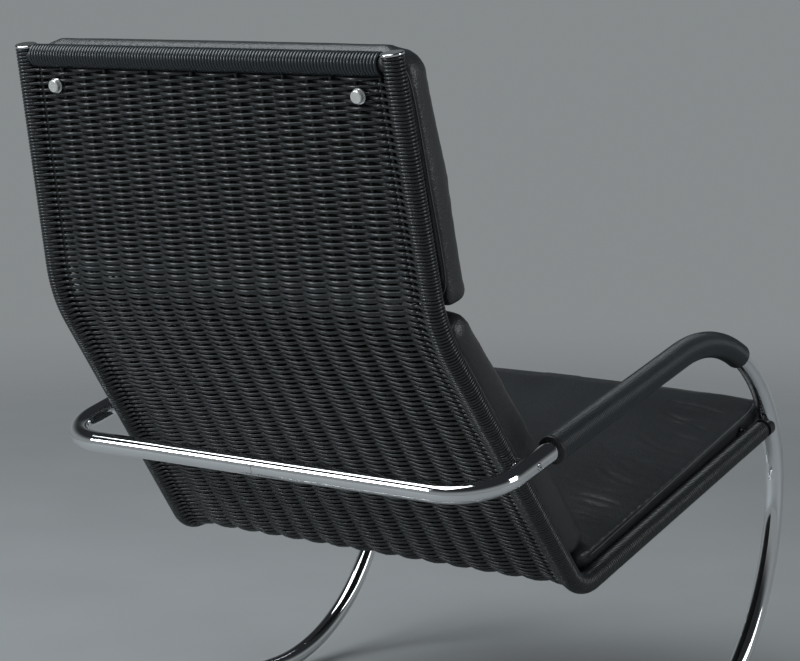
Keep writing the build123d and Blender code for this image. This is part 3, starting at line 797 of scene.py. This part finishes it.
CANE = cane("black_cane", (0.013, 0.0148, 0.0155), (0.024, 0.0268, 0.0280), 0.27, 45.0)
BAR_CANE = cane("black_bar_cane", (0.013, 0.017, 0.020), (0.024, 0.029, 0.033), 0.26, 45.0)
ARM_CANE = cane("black_arm_cane", (0.017, 0.020, 0.022), (0.028, 0.032, 0.035), 0.34, 60.0)
LEATHER = leather("black_leather")
CHROME = chrome("frame_chrome", joint=True)
BRIGHT = chrome("bright_fittings")
KNOB_METAL = plain("satin_knob_metal", (0.66, 0.66, 0.64), (0.80, 0.80, 0.78), 0.26, metallic=0.55)
# The welt's pale grey is partly its pale thread's colour and partly a painted highlight along the raised
# seam.
WELT_THREAD_AND_HIGHLIGHT = plain("welt_thread_and_painted_highlight", (0.050, 0.054, 0.056), (0.090, 0.095, 0.098), 0.40)
STAKE_BLACK = plain("black_stakes", (0.008, 0.009, 0.010), (0.014, 0.015, 0.016), 0.5)
TUBE_BLACK = plain("black_tube_paint", (0.010, 0.010, 0.011), (0.016, 0.016, 0.017), 0.45)
RING_BLACK = plain("black_ring_plastic", (0.010, 0.010, 0.011), (0.015, 0.015, 0.016), 0.32)
STEEL = plain("turned_steel", (0.42, 0.43, 0.44), (0.55, 0.56, 0.57), 0.30, metallic=1.0)
GLIDE_CLEAR = plain("clear_glide_plastic", (0.86, 0.88, 0.88), (0.93, 0.94, 0.94), 0.22, clear=True)

FINISH = {
    "frame_tube": CHROME, "rear_bar_pin": STEEL, "floor_bar_pin": STEEL,
    "front_glide": GLIDE_CLEAR, "rear_glide": GLIDE_CLEAR,
    "shell_side_tube": TUBE_BLACK, "shell_top_bar": TUBE_BLACK, "shell_front_bar": TUBE_BLACK,
    "tube_cap": BRIGHT, "rail_plug": RING_BLACK, "front_screw": BRIGHT,
    "wicker_stakes": STAKE_BLACK, "wicker_edge_rod": STAKE_BLACK,
    "rear_bolt": BRIGHT, "shell_spacer": BRIGHT, "shell_bush": STEEL,
    "armrest_ring": RING_BLACK, "knob_washer": BRIGHT, "knob": KNOB_METAL, "cushion_stud": STEEL,
}

for node, made in NODES.items():
    for start, finish in FINISH.items():
        if node.startswith(start):
            dress(made, finish)
            break


# --- The pieces ---


def keep(made, finish, slot, *nodes):
    """Makes a new piece part of the chair, standing for the CAD nodes."""
    dress(made, finish)
    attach(made, "root")
    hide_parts(*nodes)


keep(woven_rows("woven_rows_upper", 0.0, 0.36), CANE, "cane", "woven_panel")
keep(woven_rows("woven_rows_lower", 0.36, 0.74), CANE, "cane", "woven_panel")
keep(woven_rows("woven_rows_seat", 0.74, 1.3), CANE, "cane", "woven_panel")
for word, side in (("right", -1), ("left", 1)):
    keep(side_winding(f"side_winding_{word}", side), CANE, "cane", f"side_wrap_{word}")
    keep(arm_winding(f"arm_winding_{word}", side), ARM_CANE, "arm_winding", f"armrest_wrap_{word}")
keep(bar_winding("top_bar_winding", TOP_BAR), BAR_CANE, "cane", "top_bar_wrap")
keep(bar_winding("front_bar_winding", LINE_S[-1] - FRONT_BAR), BAR_CANE, "cane", "front_bar_wrap")

PAD_SEAT = TUBE + STRAND_THICK + 0.0003
UNDER_SEAT = STAKE + STRAND_THICK + 0.0003


def seat_creases():
    """Short slanting creases along the seat's two side seams, and a few long soft ones."""
    strokes = []
    for side in (-1, 1):
        for run in np.linspace(0.045, 0.43, 17):
            run = run + rng.normal(0, 0.006)
            long = rng.uniform(0.03, 0.10)
            edge = 0.284 + 0.018 * run / 0.47 - rng.uniform(0.004, 0.024)
            lean = rng.uniform(-0.05, 0.55) * long
            depth, width = rng.uniform(0.0004, 0.0015), rng.uniform(0.0030, 0.0052)
            strokes.append((run, side * edge, run + lean, side * (edge - long), depth, width))
    for run in (0.09, 0.17, 0.26, 0.36):
        x = rng.uniform(-0.12, 0.12)
        strokes.append((run, x - 0.10, run + rng.normal(0, 0.03), x + 0.10, 0.0008, 0.012))
    return strokes


def back_creases(length, half):
    """Soft draws that run in from both side seams of a back cushion."""
    strokes = []
    for side in (-1, 1):
        for run in np.linspace(0.06, length - 0.05, int(length / 0.045)):
            run = run + rng.normal(0, 0.008)
            long = rng.uniform(0.03, 0.08)
            lean = rng.uniform(-0.35, 0.35) * long
            depth, width = rng.uniform(0.0003, 0.0008), rng.uniform(0.005, 0.009)
            strokes.append((run, side * half, run + lean, side * (half - long), depth, width))
    return strokes


PADS = [
    # node, leg, start, length, halves, seam's distances out, lean, cap, fill
    (
        "head_cushion", "upper", 0.014, 0.3028, (0.291, 0.280),
        (PAD_SEAT + 0.012, PAD_SEAT), 12.0, 0.003, 0.7,
    ),
    (
        "back_cushion", "lower", 0.008, 0.4236, (0.291, 0.291),
        (PAD_SEAT + 0.016, PAD_SEAT + 0.001), 37.6, 0.003, 0.65,
    ),
    (
        "seat_cushion", "seat", 0.018, 0.4810, (0.2940, 0.3122),
        (UNDER_SEAT + 0.0115, UNDER_SEAT + 0.0215), 106.7, 0.002, 0.55,
    ),
]
CREASES = {
    "head_cushion": back_creases(0.300, 0.245),
    "back_cushion": back_creases(0.421, 0.255),
    "seat_cushion": seat_creases(),
}

for node, leg, start, length, halves, out, lean, cap, fill in PADS:
    seam = seam_loop(leg, start, length, halves, out, 18 if leg == "seat" else 9)
    face = np.array([0, *(heading(lean) * [-1, 1])])
    cover = stuffed(node.replace("_cushion", "_pad"), node, seam, -face, cap)
    creased(cover.data, leg, face, CREASES[node])
    dress(cover, LEATHER)
    sewn(cover, seam)


# --- Studio ---


def camera():
    """The photograph's viewpoint, with a long lens."""
    lens = bpy.data.cameras.new("camera")
    lens.lens, lens.sensor_width = 108.0, 36.0
    made = bpy.data.objects.new("camera", lens)
    yaw, pitch = np.radians(-54.4), np.radians(-8.4)
    look = Vector((np.cos(pitch) * np.cos(yaw), np.cos(pitch) * np.sin(yaw), np.sin(pitch)))
    made.location = (-1.7697, 2.4857, 0.997)
    made.rotation_euler = look.to_track_quat("-Z", "Y").to_euler()
    bpy.context.scene.collection.objects.link(made)
    bpy.context.scene.camera = made


LAMP_TINT = (0.92, 0.97, 1.0)


def softbox(name, at, size, power, aim=(0, 0, 0.45)):
    """A square area lamp aimed at the chair."""
    lamp = bpy.data.lights.new(name, "AREA")
    lamp.shape, lamp.size, lamp.size_y, lamp.energy = "RECTANGLE", size[0], size[1], power
    lamp.color = LAMP_TINT
    made = bpy.data.objects.new(name, lamp)
    made.location = at
    made.rotation_euler = (Vector(aim) - Vector(at)).to_track_quat("-Z", "Y").to_euler()
    bpy.context.scene.collection.objects.link(made)


def floor():
    """A plain disc of studio floor that fades into the backdrop's colour."""
    ring = np.linspace(0, 2 * np.pi, 96, endpoint=False)
    radii = np.array([0.0, 1.0, 2.0, 3.0, 4.5])
    rim = radii[:, None, None] * np.stack([np.cos(ring), np.sin(ring)], -1)[None]
    points = np.concatenate([rim, np.zeros((*rim.shape[:2], 1))], -1).reshape(-1, 3)
    index = np.arange(len(points)).reshape(len(radii), -1)
    after = np.roll(index, -1, 1)
    faces = np.stack([index[:-1], index[1:], after[1:], after[:-1]], -1).reshape(-1, 4)
    made = solid("studio_floor", points, faces)
    finish, tree, shader = material("studio_floor")
    where = link(tree, "ShaderNodeTexCoord").outputs["Object"]
    marks = use_group(tree, UNEVEN, Place=where, Patches=3.5, Specks=24.0)
    tree.links.new(
        blend(tree, marks.outputs["Patch"], (0.228, 0.238, 0.240), (0.268, 0.278, 0.280)),
        shader.inputs["Base Color"],
    )
    shader.inputs["Roughness"].default_value = 0.85
    away = link(tree, "ShaderNodeVectorMath", {"operation": "LENGTH"}, _0=where).outputs[1]
    shown = link(
        tree, "ShaderNodeMapRange", {"interpolation_type": "SMOOTHERSTEP"},
        _0=away, _1=1.5, _2=4.2, _3=1.0, _4=0.0,
    )
    tree.links.new(shown.outputs[0], shader.inputs["Alpha"])
    made.data.materials.append(finish)


def backdrop():
    """Soft grey all round, darker overhead, as seen and as mirrored, and a little light from it."""
    world = bpy.data.worlds.new("studio")
    bpy.context.scene.world = world
    world.use_nodes = True
    tree = world.node_tree
    tree.nodes.clear()
    way = link(tree, "ShaderNodeTexCoord").outputs["Generated"]
    up = link(tree, "ShaderNodeSeparateXYZ", _0=way).outputs[2]
    level = link(
        tree, "ShaderNodeMapRange", {"interpolation_type": "SMOOTHSTEP"}, _0=up, _1=0.08, _2=0.55
    ).outputs[0]
    seen = link(
        tree, "ShaderNodeBackground",
        Color=blend(tree, level, (0.240, 0.256, 0.262), (0.020, 0.022, 0.024)),
    )
    light = link(tree, "ShaderNodeBackground", Color=(0.90, 0.95, 1.0, 1), Strength=0.38)
    path = link(tree, "ShaderNodeLightPath")
    either = link(
        tree, "ShaderNodeMath", {"operation": "MAXIMUM"},
        _0=path.outputs["Is Camera Ray"], _1=path.outputs["Is Glossy Ray"],
    )
    either = link(
        tree, "ShaderNodeMath", {"operation": "MAXIMUM"},
        _0=either.outputs[0], _1=path.outputs["Is Transmission Ray"],
    )
    mix = link(tree, "ShaderNodeMixShader", _0=either.outputs[0], _1=light.outputs[0], _2=seen.outputs[0])
    link(tree, "ShaderNodeOutputWorld", Surface=mix.outputs[0])


camera()
floor()
backdrop()
softbox("overhead_softbox", (0.8, 1.0, 2.9), (2.5, 1.7), 72.0)
softbox("rear_softbox", (2.2, 2.9, 1.9), (1.2, 1.0), 50.0)
softbox("side_softbox", (-2.9, -0.7, 1.6), (0.8, 1.6), 24.0)
bpy.context.scene.view_settings.view_transform = "Standard"
